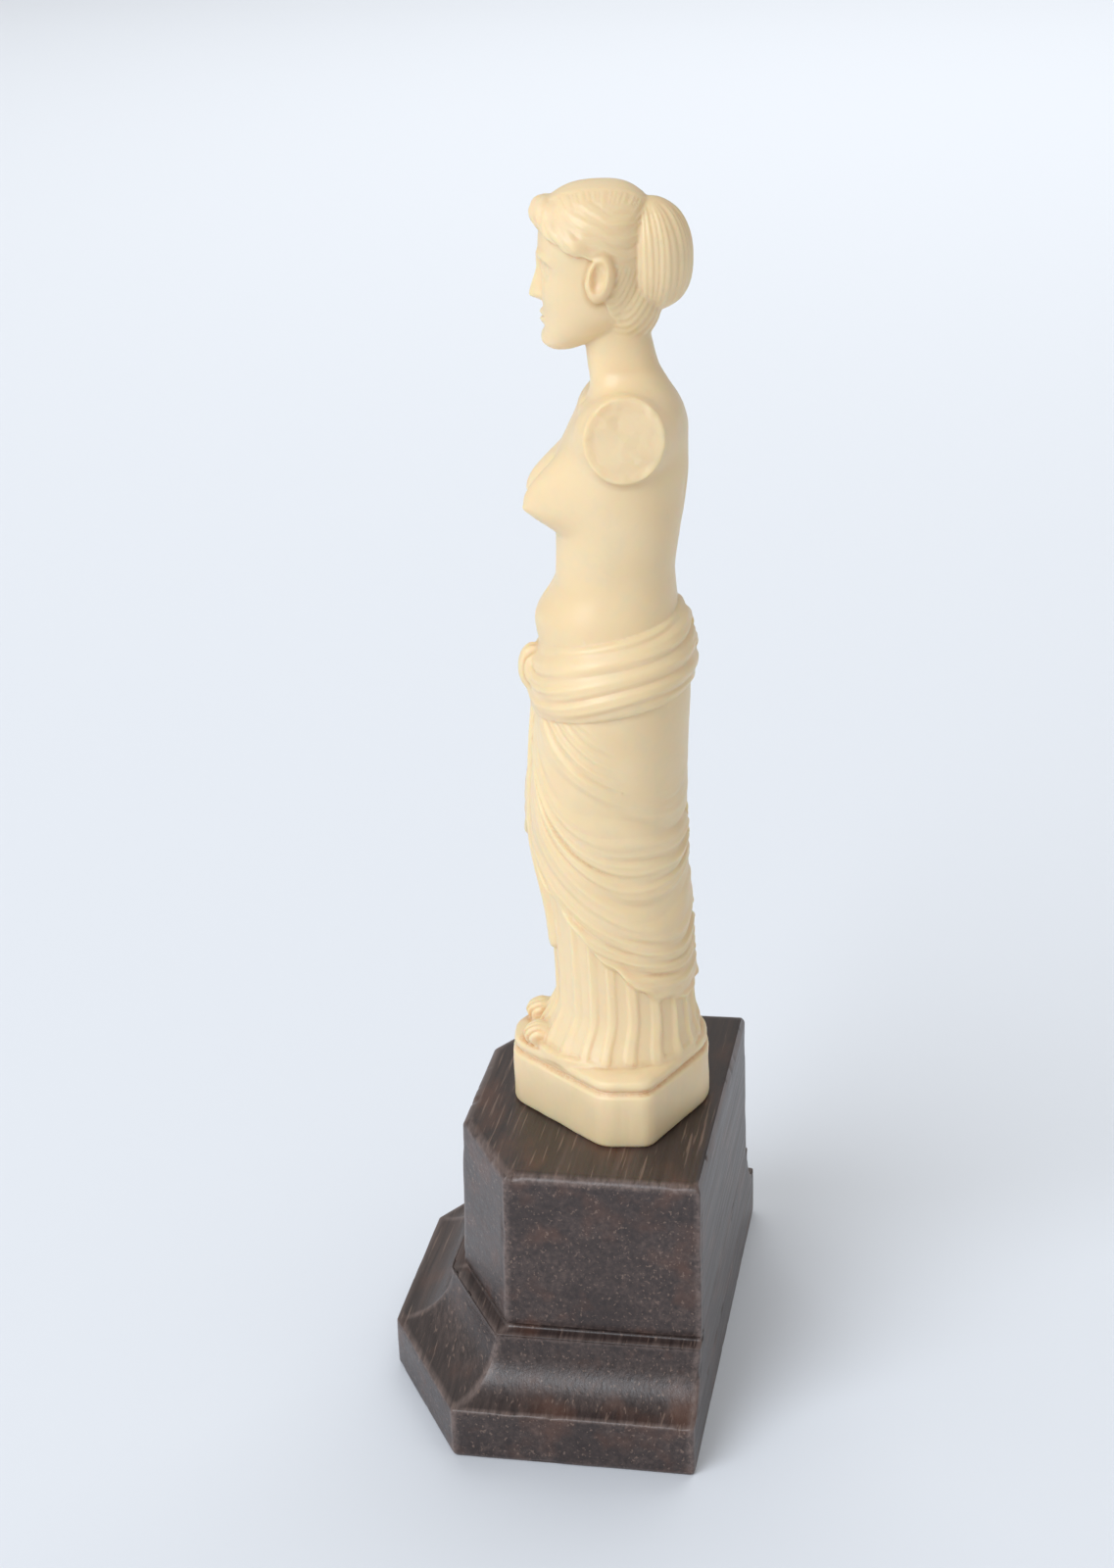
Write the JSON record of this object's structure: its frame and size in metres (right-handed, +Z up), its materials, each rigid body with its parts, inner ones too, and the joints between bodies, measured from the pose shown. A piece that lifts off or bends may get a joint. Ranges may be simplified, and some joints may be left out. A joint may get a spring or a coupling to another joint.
{
  "type": "half-draped classical female figurine on a moulded plinth",
  "caption": "Small carved female figurine, half draped, arms broken at the shoulders, on its own faceted foot and a moulded wooden plinth with a flat back.",
  "frame": {"origin": "middle of the plinth's underside", "axes": "+Z up; the figure faces -Y and its left side is towards +X; the plinth's flat back faces +Y"},
  "size_m": [0.06, 0.04, 0.1453],
  "materials": {
    "ivory": "satin polished ivory, warm cream, orange stain in the folds, grey dust marks on the bust",
    "rosewood": "dark waxed rosewood with open pores and reddish flecks, worn pale at the edges"
  },
  "bodies": {
    "root": {"figure": "ivory", "plinth": "rosewood"}
  },
  "joints": []
}
